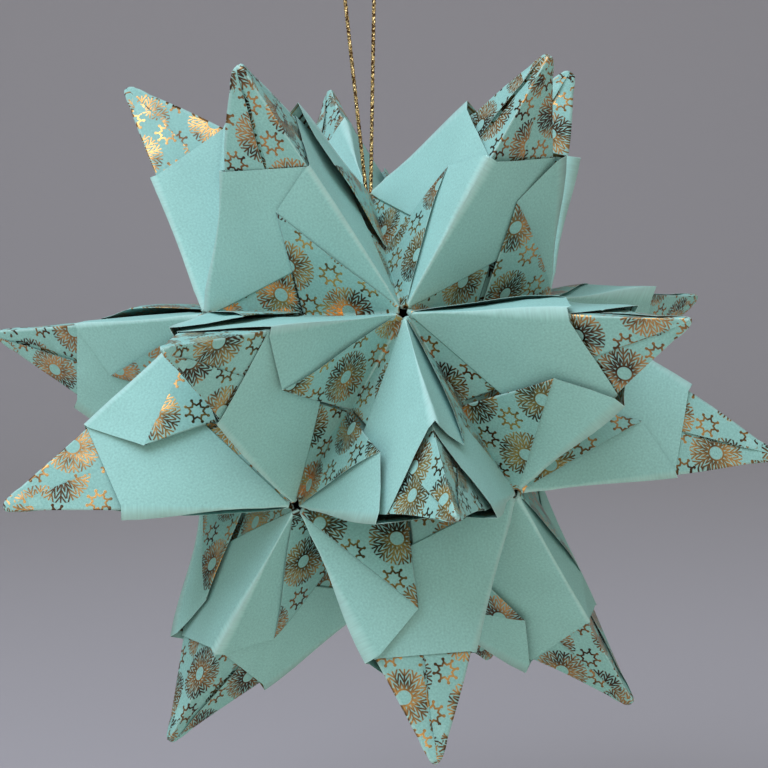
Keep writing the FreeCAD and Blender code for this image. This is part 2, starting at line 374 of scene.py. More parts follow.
def planes_beyond(flat, parts):
    """For each fold near a vertex: the layer's height beyond, the face there, its distance and its side."""
    found = []
    own = {(half, ridges) for corner, hem, half, ridges, right in parts}
    corner, hem, half, ridges, right = parts[0]
    place = moves[half, ridges] @ flat
    beyond = [((half, other), 1, 1) for other in (ridges - 1, ridges + 1) if other <= 2]
    if ridges == 0:
        beyond.append(((-half, 0), -1 if right else 1, -1))
    for key, across, kind in beyond:
        height = normals[key].dot(place - moves[key] @ Vector())
        if key not in own and abs(height) < NEAR_FOLD:
            layer = INNERMOST if key[1] < 0 else layer_height(corner, hem, key[1], across)
            found.append((layer, key, height, kind))
    return found


vertex_notes = []
for vert in sheet_pattern.verts:
    parts = set()
    middles = []
    for face in vert.link_faces:
        middle = face.calc_center_median()
        half, ridges, across, up = on_face(middle)
        parts.add((face[corner_mark], face[hem_mark], half, ridges, across >= 0))
        middles.append(moves[half, ridges] @ middle)
    parts = sorted(parts)
    beyond = planes_beyond(vert.co, parts)
    vertex_notes.append((vert.co.copy(), parts, beyond, sum(middles, Vector()) / len(middles)))
print("vertices in one sheet", len(vertex_notes))


def place_on(half, ridges, place):
    """A spot's place across and up one given face, even where it lies on that face's edge."""
    back, side = TIP.x - half * place[0], -half * place[1]
    angle = math.atan2(side, back) - ridges * math.pi / 4
    reach = math.hypot(side, back)
    return reach * math.sin(angle), FACE_HEIGHT - reach * math.cos(angle)


# %% [markdown]
# All layers of a face share one slow wave, read from the same place in space, so that sheets bend together
# and don't cut through each other. At a pit the five thick corners can't reach the middle, and at a tip the
# paper can't come to a perfect point. So near both, everything moves a little away from the middle line, and
# each point that lies on that line moves towards its own part of the sheet. A folder presses the tip hard,
# so the layers lie closer together there.

# %% Holes at the pits and blunt tips
WAVE_HEIGHT = 0.0011
WAVE_LENGTH = 0.038
HOLE_RADIUS = 0.0014
HOLE_REACH = 0.008
TIP_HOLE = 0.0005
TIP_BLUNT = 0.0008
TIP_SOFT = 0.004
TIP_NEAR = 0.02
TIP_SQUEEZE = 0.3
OFF_LINE = 0.0002
SEAM_PATCH = 0.02

tips = []
for one, two, three in itertools.combinations(pits, 3):
    if touching(one, two) and touching(one, three) and touching(two, three):
        tips.append((one + two + three).normalized() * spike_tip.length)
print("spike tips", len(tips))


def keep_off_line(place, paper_middle, centre, hole, reach):
    """Move a point near a pit or tip away from the line through it, on its own side."""
    offset = place - centre
    if offset.length > reach:
        return place
    axis = centre.normalized()
    radial = offset - axis * offset.dot(axis)
    towards = paper_middle - centre
    radial += (towards - axis * towards.dot(axis)).normalized() * OFF_LINE
    wanted = hole + radial.length * (1 - hole / reach)
    return centre + axis * offset.dot(axis) + radial.normalized() * wanted


def blunt_tip(place, tip):
    """Press what would reach past a blunt tip back down its spike."""
    axis = tip.normalized()
    start = tip.length - TIP_BLUNT - TIP_SOFT
    height = place.dot(axis)
    if (place - tip).length > TIP_NEAR or height < start:
        return place
    share = (height - start) / TIP_SOFT
    return place + axis * (start + TIP_SOFT * (1 - math.exp(-share)) - height)


def seam_share(face_middle):
    """How open the seam of one spike face is: the same for every sheet that lies on that face."""
    return min(max(0.65 + 1.6 * noise.noise(face_middle / SEAM_PATCH), 0.08), 1.2)


face_middles = {}
for half, ridges in moves:
    angle = ridges * math.pi / 4
    reach = FACE_HEIGHT * 0.7
    spot = Vector((TIP.x - reach * math.cos(angle), -reach * math.sin(angle), 0))
    face_middles[half, ridges] = Vector((half * spot.x, half * spot.y, 0))

# %% Folding one unit in space
def unit_matrix(start, end):
    """Where a unit lies: its valley along Y, and Z out of the star."""
    outward = (start + end).normalized()
    along = (start - end).normalized()
    matrix = Matrix((along.cross(outward), along, outward)).transposed().to_4x4()
    matrix.translation = (start + end) / 2
    return matrix


STRIP_LEFT = 0.1
WEAKEST_SHARE = 0.05


def least_push(rows, wanted):
    """The shortest push with a wanted height along each of some normals."""
    return Vector(np.linalg.lstsq(np.array(rows), np.array(wanted), rcond=WEAKEST_SHARE)[0])


def folded_places(start, end, strengths):
    """The place of every vertex of a sheet, folded over its valley and lifted to its layer."""
    to_star = unit_matrix(start, end)
    near_pits = [pit for pit in pits if touching(pit, start) or touching(pit, end) or pit in (start, end)]
    near_tips = [tip for tip in tips if (tip - (start + end) / 2).length < SHEET * 0.7]
    seam_shares = {key: seam_share(to_star @ move @ face_middles[key]) for key, move in moves.items()}
    places = []
    for flat, parts, beyond, middle_of_paper in vertex_notes:
        rows, wanted = [], []
        half, ridges = parts[0][2], parts[0][3]
        place = to_star @ moves[half, ridges] @ flat
        wave = WAVE_HEIGHT * noise.noise(place / WAVE_LENGTH)
        from_tip = (Vector(flat[:2]) - TIP * half).length
        squeeze = TIP_SQUEEZE + (1 - TIP_SQUEEZE) * ease(from_tip / TIP_REACH)
        for corner, hem, half, ridges, right in parts:
            across, up = place_on(half, ridges, flat)
            height = layer_height(corner, hem, ridges, 1 if right else -1) - TRUE_SIZE_HEIGHT
            if right:
                across = max(across, 0.0)
            height -= seam_depth(ridges, across, up) * seam_shares[half, ridges]
            height -= slit_depth(hem, ridges, across, up)
            if right or ridges:
                height += spring(corner, hem, ridges, across, up, strengths[half])
            rows.append(normals[half, ridges])
            wanted.append((height + wave) * squeeze)
        push = least_push(rows, wanted)
        passed = []
        for height, key, distance, kind in beyond:
            limit = (height - TRUE_SIZE_HEIGHT + wave) * squeeze - distance * (1 - STRIP_LEFT)
            if kind * (normals[key].dot(push) - limit) > 0:
                passed.append((normals[key], limit))
        if passed:
            rows += [row for row, limit in passed]
            wanted += [limit for row, limit in passed]
            push = least_push(rows, wanted)
        paper_middle = to_star @ middle_of_paper
        for pit in near_pits:
            place = keep_off_line(place, paper_middle, pit, HOLE_RADIUS, HOLE_REACH)
        for tip in near_tips:
            place = keep_off_line(place, paper_middle, tip, TIP_HOLE, HOLE_REACH)
        place = place + to_star.to_3x3() @ push
        for tip in near_tips:
            place = blunt_tip(place, tip)
        places.append(place)
    return places


# %% [markdown]
# The print lies on the sheet by the sheet's own flat coordinates, turned and shifted for each sheet as if
# every one was cut from another part of a large printed roll. A second layer marks the folds, so that the
# finish can wear them and paint a highlight along them.

# %% Build the thirty sheets
def strengths_for(chance):
    """Random curl of one half of a sheet, in metres."""
    return {
        "pocket": chance.uniform(0.0007, 0.0036),
        "corner": chance.uniform(0.0005, 0.0018),
        "loose": chance.uniform(0.0004, 0.0022),
        "seam": chance.uniform(0.0002, 0.0008),
    }


def folded_sheet(name, start, end, chance):
    """One sheet as an object: folded, with its print placed and its folds marked."""
    bm = sheet_pattern.copy()
    bm.verts.ensure_lookup_table()
    strengths = {half: strengths_for(chance) for half in (1, -1)}
    places = folded_places(start, end, strengths)
    print_layer = bm.loops.layers.uv.new("print")
    flat_layer = bm.verts.layers.float_vector["sheet"]
    fold_layer = bm.verts.layers.float.new("fold")
    turn = Matrix.Rotation(math.pi / 2 * chance.randrange(4) + chance.uniform(-0.02, 0.02), 2)
    shift = Vector((chance.uniform(0, 9), chance.uniform(0, 9)))
    for vert, place in zip(bm.verts, places):
        vert.co = place + star_centre
    for face in bm.faces:
        face.smooth = True
        for loop in face.loops:
            loop[print_layer].uv = turn @ Vector(loop.vert[flat_layer][:2]) / SHEET + shift
    for vert, (flat, parts, beyond, middle) in zip(bm.verts, vertex_notes):
        layers = {(corner, hem) for corner, hem, half, ridges, right in parts}
        faces = {(half, ridges) for corner, hem, half, ridges, right in parts}
        vert[fold_layer] = 1.0 if len(layers) > 1 or len(faces) > 1 else 0.0
    mesh = bpy.data.meshes.new(name)
    bm.to_mesh(mesh)
    bm.free()
    piece = bpy.data.objects.new(name, mesh)
    bpy.context.scene.collection.objects.link(piece)
    return piece


FIRST_SEED = 400

sheets = []
for number, (node, (start, end)) in enumerate(zip(paper_nodes, valleys)):
    piece = folded_sheet(f"folded_{node}", start, end, random.Random(FIRST_SEED + number))
    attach(piece, "root")
    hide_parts(node)
    sheets.append(piece)
print("folded sheets", len(sheets))

# %% [markdown]
# Solidify gives the sheets their thickness, and weighted normals keep the large faces flat right up to the
# narrow strips of their folds, so that a fold looks creased and not rounded. The outer skin keeps the
# printed finish, the inner skin takes the plain one and the rim shows the pale cut edge, so all three
# finishes sit in three slots of each piece.

# %% Thickness
for piece in sheets:
    solid = piece.modifiers.new("thickness", "SOLIDIFY")
    solid.thickness = PAPER * 0.9
    solid.offset = 0
    solid.material_offset = 1
    solid.material_offset_rim = 2
    even = piece.modifiers.new("crisp folds", "WEIGHTED_NORMAL")
    even.weight = 50

# %% [markdown]
# Small helpers keep the finishes readable: one adds a node, one feeds a socket with a number or another
# socket, and one does arithmetic.

# %% Node helpers
def add_node(tree, kind, **settings):
    node = tree.nodes.new(kind)
    for name, value in settings.items():
        setattr(node, name, value)
    return node


def feed(tree, socket, value):
    if isinstance(value, bpy.types.NodeSocket):
        tree.links.new(value, socket)
    else:
        socket.default_value = value


def calc(tree, operation, *values, clamp=False):
    node = add_node(tree, "ShaderNodeMath", operation=operation, use_clamp=clamp)
    for socket, value in zip(node.inputs, values):
        feed(tree, socket, value)
    return node.outputs[0]


def blend_colour(tree, share, one, other, kind="MIX"):
    node = add_node(tree, "ShaderNodeMix", data_type="RGBA", blend_type=kind)
    feed(tree, node.inputs[0], share)
    feed(tree, node.inputs[6], one)
    feed(tree, node.inputs[7], other)
    return node.outputs[2]


def new_group(name, inputs, outputs):
    """A node group with float or vector inputs and float outputs."""
    group = bpy.data.node_groups.new(name, "ShaderNodeTree")
    for label, kind in inputs:
        group.interface.new_socket(label, in_out="INPUT", socket_type=kind)
    for label in outputs:
        group.interface.new_socket(label, in_out="OUTPUT", socket_type="NodeSocketFloat")
    source = group.nodes.new("NodeGroupInput")
    target = group.nodes.new("NodeGroupOutput")
    return group, source.outputs, target.inputs


def use_group(tree, group, **values):
    node = add_node(tree, "ShaderNodeGroup", node_tree=group)
    for name, value in values.items():
        feed(tree, node.inputs[name], value)
    return node.outputs


# %% [markdown]
# The foil snowflakes are laid out like bricks: every second row is shifted by half a motif, which leaves
# room for two small flakes beside each large one. This group finds the nearest motif of such a layout and
# gives the distance and the angle from its middle. Each motif is turned and nudged by a random amount.

# %% Where the nearest snowflake is
ROW = 19.0
COLUMN = 21.0


def brick_group():
    inputs = [("Place", "NodeSocketVector"), ("Across", "NodeSocketFloat"), ("Up", "NodeSocketFloat"),
              ("Nudge", "NodeSocketFloat")]
    group, source, target = new_group("nearest motif", inputs, ("Distance", "Angle"))
    split = add_node(group, "ShaderNodeSeparateXYZ")
    feed(group, split.inputs[0], source["Place"])
    x = calc(group, "SUBTRACT", split.outputs[0], source["Across"])
    y = calc(group, "SUBTRACT", split.outputs[1], source["Up"])
    row = calc(group, "ROUND", calc(group, "DIVIDE", y, ROW))
    odd = calc(group, "FLOORED_MODULO", row, 2.0)
    x = calc(group, "SUBTRACT", x, calc(group, "MULTIPLY", odd, COLUMN / 2))
    column = calc(group, "ROUND", calc(group, "DIVIDE", x, COLUMN))
    cell = add_node(group, "ShaderNodeCombineXYZ")
    feed(group, cell.inputs[0], column)
    feed(group, cell.inputs[1], row)
    feed(group, cell.inputs[2], source["Across"])
    chance = add_node(group, "ShaderNodeTexWhiteNoise")
    feed(group, chance.inputs["Vector"], cell.outputs[0])
    parts = add_node(group, "ShaderNodeSeparateXYZ")
    feed(group, parts.inputs[0], chance.outputs["Color"])
    local = []
    for axis, spacing, count in ((0, COLUMN, column), (1, ROW, row)):
        place = calc(group, "SUBTRACT", (x, y)[axis], calc(group, "MULTIPLY", count, spacing))
        nudge = calc(group, "MULTIPLY", calc(group, "SUBTRACT", parts.outputs[axis], 0.5), source["Nudge"])
        local.append(calc(group, "SUBTRACT", place, nudge))
    squares = [calc(group, "MULTIPLY", value, value) for value in local]
    feed(group, target["Distance"], calc(group, "SQRT", calc(group, "ADD", *squares)))
    angle = calc(group, "ARCTAN2", local[1], local[0])
    spin = calc(group, "MULTIPLY", parts.outputs[2], math.tau)
    feed(group, target["Angle"], calc(group, "ADD", angle, spin))
    return group


nearest_motif = brick_group()

# %% [markdown]
# A snowflake is one arm, repeated round its middle by folding the angle into a wedge. In the wedge, an arm is
# a set of straight strokes. A stroke is a band round a line, cut off outside the flake, with soft sides.

# %% Drawing in one wedge of a snowflake
STROKE_SOFTNESS = 0.024


def wedge(tree, distance, angle, arms, radius):
    """Place in one wedge of a flake: distance from the middle, along the arm and off it, in radii."""
    width = math.tau / arms
    folded = calc(tree, "SUBTRACT", calc(tree, "FLOORED_MODULO", angle, width), width / 2)
    folded = calc(tree, "ABSOLUTE", folded)
    reach = calc(tree, "DIVIDE", distance, radius)
    along = calc(tree, "MULTIPLY", reach, calc(tree, "COSINE", folded))
    off = calc(tree, "MULTIPLY", reach, calc(tree, "SINE", folded))
    return reach, along, off


def soft_below(tree, value, limit, softness=STROKE_SOFTNESS):
    """1 where a value is under a limit, 0 where it is over, with a soft step."""
    gap = calc(tree, "SUBTRACT", limit, value)
    return calc(tree, "ADD", calc(tree, "DIVIDE", gap, softness), 0.5, clamp=True)


def between(tree, value, low, high):
    """1 where a value lies between two limits."""
    middle, half = (low + high) / 2, (high - low) / 2
    return soft_below(tree, calc(tree, "ABSOLUTE", calc(tree, "SUBTRACT", value, middle)), half)


def slanted_stroke(tree, along, off, start, slope, thickness):
    """A band that leaves the arm at start and slants outwards."""
    rise = calc(tree, "MULTIPLY", calc(tree, "SUBTRACT", along, start), math.sin(slope))
    distance = calc(tree, "SUBTRACT", rise, calc(tree, "MULTIPLY", off, math.cos(slope)))
    return soft_below(tree, calc(tree, "ABSOLUTE", distance), thickness)


def strongest(tree, *masks):
    result = masks[0]
    for mask in masks[1:]:
        result = calc(tree, "MAXIMUM", result, mask)
    return result


# %% The two snowflakes
LARGE_RADIUS = 7.9
LARGE_ARMS = 14
SMALL_RADIUS = 3.8
SMALL_ARMS = 8


def large_flake_group():
    """A round flake with an open ring in the middle and forked arms."""
    inputs = [("Distance", "NodeSocketFloat"), ("Angle", "NodeSocketFloat")]
    group, source, target = new_group("large snowflake", inputs, ("Mask",))
    reach, along, off = wedge(group, source["Distance"], source["Angle"], LARGE_ARMS, LARGE_RADIUS)
    ring = between(group, reach, 0.25, 0.32)
    stem = calc(group, "MINIMUM", soft_below(group, off, 0.030), between(group, reach, 0.28, 0.99))
    branches = ((0.30, 0.46, 0.62), (0.52, 0.52, 0.86), (0.74, 0.64, 1.0))
    arms = []
    for start, slope, end in branches:
        fork = slanted_stroke(group, along, off, start, slope, 0.029)
        arms.append(calc(group, "MINIMUM", fork, between(group, reach, start - 0.02, end)))
    feed(group, target["Mask"], strongest(group, ring, stem, *arms))
    return group


def small_flake_group():
    """A small star: a zigzag ring with a short ray on each point."""
    inputs = [("Distance", "NodeSocketFloat"), ("Angle", "NodeSocketFloat")]
    group, source, target = new_group("small snowflake", inputs, ("Mask",))
    reach, along, off = wedge(group, source["Distance"], source["Angle"], SMALL_ARMS, SMALL_RADIUS)
    zigzag = slanted_stroke(group, along, off, 0.66, math.pi - 0.62, 0.075)
    ring = calc(group, "MINIMUM", zigzag, between(group, reach, 0.3, 0.76))
    ray = calc(group, "MINIMUM", soft_below(group, off, 0.075), between(group, reach, 0.6, 0.92))
    knob_place = calc(group, "SUBTRACT", along, 0.88)
    squares = [calc(group, "MULTIPLY", value, value) for value in (knob_place, off)]
    knob = soft_below(group, calc(group, "SQRT", calc(group, "ADD", *squares)), 0.12)
    feed(group, target["Mask"], strongest(group, ring, ray, knob))
    return group


# %% The whole print
SMALL_UP = 6.6


def foil_print_group():
    """Where foil lies on the printed side."""
    group, source, target = new_group("foil print", [("Place", "NodeSocketVector")], ("Mask",))
    large, small = large_flake_group(), small_flake_group()
    layouts = (
        (large, 0.0, 0.0, 0.8),
        (small, COLUMN / 2, SMALL_UP, 1.2),
        (small, 0.01, ROW - SMALL_UP, 1.2),
    )
    masks = []
    for flake, across, up, nudge in layouts:
        found = use_group(group, nearest_motif, Place=source["Place"], Across=across, Up=up, Nudge=nudge)
        masks.append(use_group(group, flake, Distance=found["Distance"], Angle=found["Angle"])["Mask"])
    feed(group, target["Mask"], strongest(group, *masks))
    return group


foil_print = foil_print_group()

# %% [markdown]
# Coloured paper is never quite even. This group gives a slow mottle, the fine grain of the fibres and a
# height for the bump. It reads the sheet's own coordinates, so the grain bends with the paper.

# %% Paper grain
def paper_grain_group():
    group, source, target = new_group("paper grain", [("Place", "NodeSocketVector")], ("Tone", "Height"))
    mottle = add_node(group, "ShaderNodeTexNoise")
    feed(group, mottle.inputs["Vector"], source["Place"])
    feed(group, mottle.inputs["Scale"], 0.09)
    feed(group, mottle.inputs["Detail"], 4.0)
    fibres = add_node(group, "ShaderNodeTexNoise")
    feed(group, fibres.inputs["Vector"], source["Place"])
    feed(group, fibres.inputs["Scale"], 1.6)
    feed(group, fibres.inputs["Detail"], 5.0)
    slow = calc(group, "MULTIPLY", calc(group, "SUBTRACT", mottle.outputs[0], 0.5), 0.16)
    fine = calc(group, "MULTIPLY", calc(group, "SUBTRACT", fibres.outputs[0], 0.5), 0.56)
    feed(group, target["Tone"], calc(group, "ADD", calc(group, "ADD", slow, fine), 1.0))
    feed(group, target["Height"], fibres.outputs[0])
    return group


paper_grain = paper_grain_group()

# %% [markdown]
# Three finishes use those groups. The plain side is matte. The printed side has the same paper, a little
# deeper in colour, with foil laid over it: metal where the mask says so. A slow noise paints the foil dark
# brown in some patches and gold in others. This is a painted reflection: dark where it stands for a dim room
# mirrored in the foil, bright where it stands for glints. The cut edge is paler. Along the folds both sides
# are rubbed lighter, which also paints a highlight along the ridges.

# %% The three paper finishes
PLAIN_COLOUR = (0.31, 0.55, 0.53, 1)
PRINTED_COLOUR = (0.27, 0.50, 0.48, 1)
EDGE_COLOUR = (0.60, 0.78, 0.75, 1)
FOIL_PAINTED_DARK_REFLECTION = (0.10, 0.055, 0.03, 1)
FOIL_GOLD = (0.72, 0.39, 0.14, 1)
PRINT_SCALE = SHEET * 1000
WEAR_AND_HIGHLIGHT_SHARE = 0.4


def paper_base(name, colour):
    """A matte paper material. Gives its tree, shader, coloured paper, sheet place in mm and grain height."""
    material = bpy.data.materials.new(name)
    material.use_nodes = True
    tree = material.node_tree
    shader = tree.nodes["Principled BSDF"]
    where = add_node(tree, "ShaderNodeUVMap", uv_map="print")
    scaled = add_node(tree, "ShaderNodeVectorMath", operation="SCALE")
    feed(tree, scaled.inputs[0], where.outputs[0])
    feed(tree, scaled.inputs["Scale"], PRINT_SCALE)
    place = scaled.outputs[0]
    grain = use_group(tree, paper_grain, Place=place)
    tone = add_node(tree, "ShaderNodeCombineXYZ")
    for socket in tone.inputs:
        feed(tree, socket, grain["Tone"])
    paper = blend_colour(tree, 1.0, colour, tone.outputs[0], "MULTIPLY")
    # Lighter along the folds: rubbed wear, and also a painted highlight along the ridges.
    fold = add_node(tree, "ShaderNodeAttribute", attribute_name="fold")
    wear_and_highlight = calc(tree, "MULTIPLY", fold.outputs["Fac"], WEAR_AND_HIGHLIGHT_SHARE)
    paper = blend_colour(tree, wear_and_highlight, paper, EDGE_COLOUR)
    shader.inputs["Roughness"].default_value = 0.72
    shader.inputs["Specular IOR Level"].default_value = 0.35
    return material, tree, shader, paper, place, grain["Height"]


def give_bump(tree, shader, height, strength, distance):
    bump = add_node(tree, "ShaderNodeBump")
    bump.inputs["Strength"].default_value = strength
    bump.inputs["Distance"].default_value = distance
    feed(tree, bump.inputs["Height"], height)
    feed(tree, shader.inputs["Normal"], bump.outputs[0])


def plain_paper():
    material, tree, shader, paper, place, height = paper_base("plain side", PLAIN_COLOUR)
    feed(tree, shader.inputs["Base Color"], paper)
    give_bump(tree, shader, height, 0.5, 0.00002)
    return material


def printed_paper():
    material, tree, shader, paper, place, height = paper_base("printed side", PRINTED_COLOUR)
    mask = use_group(tree, foil_print, Place=place)["Mask"]
    # Painted reflection: noise mixes the foil between a dark brown for a mirrored dim room and gold for
    # glints.
    foil_reflection_noise = add_node(tree, "ShaderNodeTexNoise")
    feed(tree, foil_reflection_noise.inputs["Vector"], place)
    feed(tree, foil_reflection_noise.inputs["Scale"], 0.11)
    feed(tree, foil_reflection_noise.inputs["Detail"], 3.0)
    painted_foil_reflection = calc(tree, "MULTIPLY", calc(tree, "SUBTRACT", foil_reflection_noise.outputs[0], 0.40), 5.0, clamp=True)
    foil = blend_colour(tree, painted_foil_reflection, FOIL_PAINTED_DARK_REFLECTION, FOIL_GOLD)
    feed(tree, shader.inputs["Base Color"], blend_colour(tree, mask, paper, foil))
    feed(tree, shader.inputs["Metallic"], calc(tree, "MULTIPLY", mask, 0.95))
    smoothed = calc(tree, "MULTIPLY", mask, 0.38)
    feed(tree, shader.inputs["Roughness"], calc(tree, "SUBTRACT", 0.68, smoothed))
    give_bump(tree, shader, calc(tree, "ADD", height, mask), 0.5, 0.00003)
    return material


def cut_edge():
    material, tree, shader, paper, place, height = paper_base("cut edge", EDGE_COLOUR)
    feed(tree, shader.inputs["Base Color"], paper)
    return material


paper_finishes = [printed_paper(), plain_paper(), cut_edge()]
for piece in sheets:
    for finish in paper_finishes:
        piece.data.materials.append(finish)
print("finishes", [finish.name for finish in paper_finishes])

# %% [markdown]
# The cord is two taut strands of one loop, which goes up out of the star's top pit and round a hook above the
# picture. Its line is a smooth spline led by the corners of the solid's route. Each long straight run has one
# more point near the pit and one below the loop, which keeps the runs straight.

# %% The cord's route
CORD_DIAMETER = 0.0012
cord_points = [
    Vector((-0.00065, 0, -0.08228)),
    Vector((-0.00065, 0, -0.08000)),
    Vector((-0.00079, 0, -0.07772)),
    Vector((-0.00509, 0, -0.00978)),
    Vector((-0.00553, 0, -0.00279)),
    Vector((-0.00233, 0, 0.00060)),
    Vector((0.00233, 0, 0.00060)),
    Vector((0.00553, 0, -0.00279)),
    Vector((0.00509, 0, -0.00978)),
    Vector((0.00079, 0, -0.07772)),
    Vector((0.00065, 0, -0.08000)),
    Vector((0.00065, 0, -0.08228)),
]

# %% [markdown]
# The line is read back from the spline as a chain of points. Three thin strands wind round it, each a small
# tube swept along its own helix, and together they are as thick as the cord.

# %% Twist three strands round the route
STRAND_RADIUS = 0.00033
TWIST_LENGTH = 0.0050
STEPS_PER_TWIST = 14


def spline_line(points):
    """Even steps along a smooth open spline through control points."""
    curve = bpy.data.curves.new("cord route", "CURVE")
    curve.dimensions = "3D"
    curve.resolution_u = 24
    spline = curve.splines.new("NURBS")
    spline.points.add(len(points) - 1)
    for slot, point in zip(spline.points, points):
        slot.co = (*point, 1)
    spline.order_u = 3
    spline.use_endpoint_u = True
    holder = bpy.data.objects.new("cord route", curve)
    mesh = bpy.data.meshes.new_from_object(holder)
    line = [vert.co.copy() for vert in mesh.vertices]
    bpy.data.objects.remove(holder)
    bpy.data.meshes.remove(mesh)
    return line


def even_steps(line, spacing):
    """The same line, with its points a set distance apart."""
    lengths = [0.0]
    for one, other in zip(line, line[1:]):
        lengths.append(lengths[-1] + (other - one).length)
    count = int(lengths[-1] / spacing)
    wanted = np.linspace(0, lengths[-1], count + 1)
    columns = [np.interp(wanted, lengths, [point[i] for point in line]) for i in range(3)]
    return [Vector(point) for point in zip(*columns)], lengths[-1]


cord_line, cord_length = even_steps(spline_line(cord_points), TWIST_LENGTH / STEPS_PER_TWIST)
print("cord length", round(cord_length, 4), "steps", len(cord_line))


def twisted_strand(line, phase):
    """Points of a helix round a line, with a side direction that is carried along it."""
    offset = CORD_DIAMETER / 2 - STRAND_RADIUS
    side = Vector((0, 1, 0))
    points = []
    for i, point in enumerate(line):
        ahead = (line[min(i + 1, len(line) - 1)] - line[max(i - 1, 0)]).normalized()
        side = (side - ahead * side.dot(ahead)).normalized()
        angle = phase + math.tau * i / STEPS_PER_TWIST
        points.append(point + (side * math.cos(angle) + ahead.cross(side) * math.sin(angle)) * offset)
    return points


def twisted_piece(name, lines):
    """Three strands round each line, as one piece, swept by a curve with a round bevel."""
    curve = bpy.data.curves.new(name, "CURVE")
    curve.dimensions = "3D"
    curve.bevel_depth = STRAND_RADIUS
    curve.bevel_resolution = 1
    curve.use_fill_caps = True
    for line, number in itertools.product(lines, range(3)):
        points = twisted_strand(line, math.tau * number / 3)
        spline = curve.splines.new("POLY")
        spline.points.add(len(points) - 1)
        for slot, point in zip(spline.points, points):
            slot.co = (*point, 1)
    holder = bpy.data.objects.new(name, curve)
    mesh = bpy.data.meshes.new_from_object(holder)
    bpy.data.objects.remove(holder)
    mesh.name = name
    mesh.polygons.foreach_set("use_smooth", [True] * len(mesh.polygons))
    piece = bpy.data.objects.new(name, mesh)
    bpy.context.scene.collection.objects.link(piece)
    return piece


cord_piece = twisted_piece("twisted_cord", [cord_line])

# %% [markdown]
# Inside the top pit both ends are tied in one overhand knot, too thick to slip through the hole. The line of
# the knot goes once over, once round and back under itself, and the two ends follow it side by side and stick
# out below as short tails.

# %% Tie the knot
KNOT_SIDE = 0.00052
knot_points = [
    Vector((0.0002, 0.0000, -0.0823)),
    Vector((0.0002, 0.0002, -0.0834)),
    Vector((0.0012, 0.0008, -0.0849)),
    Vector((0.0009, -0.0004, -0.0865)),
    Vector((-0.0008, -0.0009, -0.0862)),
    Vector((-0.0016, -0.0001, -0.0848)),
    Vector((-0.0007, 0.0009, -0.0839)),
    Vector((0.0010, 0.0004, -0.0842)),
    Vector((0.0017, -0.0007, -0.0853)),
    Vector((0.0005, -0.0008, -0.0863)),
    Vector((-0.0004, 0.0003, -0.0860)),
    Vector((-0.0002, 0.0010, -0.0870)),
    Vector((0.0001, 0.0012, -0.0877)),
]
knot_line, knot_length = even_steps(spline_line(knot_points), TWIST_LENGTH / STEPS_PER_TWIST)
beside = Vector((0, KNOT_SIDE, 0))
knot = twisted_piece("overhand_knot", [[point + beside * sign for point in knot_line] for sign in (1, -1)])
print("knot line", round(knot_length, 4))

for piece, node in ((cord_piece, "hanging_cord"), (knot, "cord_knot")):
    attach(piece, "root")
    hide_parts(node)

# %% [markdown]
# Metallic thread is foil wound on a core: it flashes in small spots as the foil turns. Cells on the scale of
# the foil's width tip the surface this way and that. Each cell's colour is also painted bright gold or dark
# brown, which gives painted glints and painted dark reflections.

# %% Gold thread
FACETS_PER_METRE = 2200.0
THREAD_PAINTED_DARK = (0.11, 0.05, 0.015, 1)
THREAD_GOLD = (1.0, 0.72, 0.34, 1)


def gold_thread():
    material = bpy.data.materials.new("gold thread")
    material.use_nodes = True
    tree = material.node_tree
    shader = tree.nodes["Principled BSDF"]
    where = add_node(tree, "ShaderNodeTexCoord")
    facets = add_node(tree, "ShaderNodeTexVoronoi")
    feed(tree, facets.inputs["Vector"], where.outputs["Object"])
    feed(tree, facets.inputs["Scale"], FACETS_PER_METRE)
    cell = add_node(tree, "ShaderNodeSeparateXYZ")
    feed(tree, cell.inputs[0], facets.outputs["Color"])
    # Painted glints: each cell's colour is set towards bright gold or towards a dark brown.
    painted_glint = calc(tree, "MULTIPLY", calc(tree, "SUBTRACT", cell.outputs[0], 0.3), 2.2, clamp=True)
    gold = blend_colour(tree, painted_glint, THREAD_PAINTED_DARK, THREAD_GOLD)
    feed(tree, shader.inputs["Base Color"], gold)
    shader.inputs["Metallic"].default_value = 0.9
    rough = calc(tree, "SUBTRACT", 0.5, calc(tree, "MULTIPLY", painted_glint, 0.28))
    feed(tree, shader.inputs["Roughness"], rough)
    give_bump(tree, shader, facets.outputs["Distance"], 0.8, 0.0002)
    return material


gold = gold_thread()
for piece in (cord_piece, knot):
    piece.data.materials.append(gold)

# %% [markdown]
# The stage is a plain sweep: a floor under the hanging star that curves up into a backdrop. It isn't part of
# the object. A bright room throws light on the star from below as well, so what the floor gives to the paper
# is paler than what the camera and the foil see of it.

# %% Floor and backdrop
FLOOR_DROP = 0.07
FLOOR_FRONT = 9.0
FLOOR_SIDE = 4
WALL_START = 1.2
WALL_HEIGHT = 4
BEND = 0.5
BEND_STEPS = 12
FLOOR_COLOUR = (0.39, 0.355, 0.40, 1)
FLOOR_BOUNCE = (0.74, 0.71, 0.63, 1)


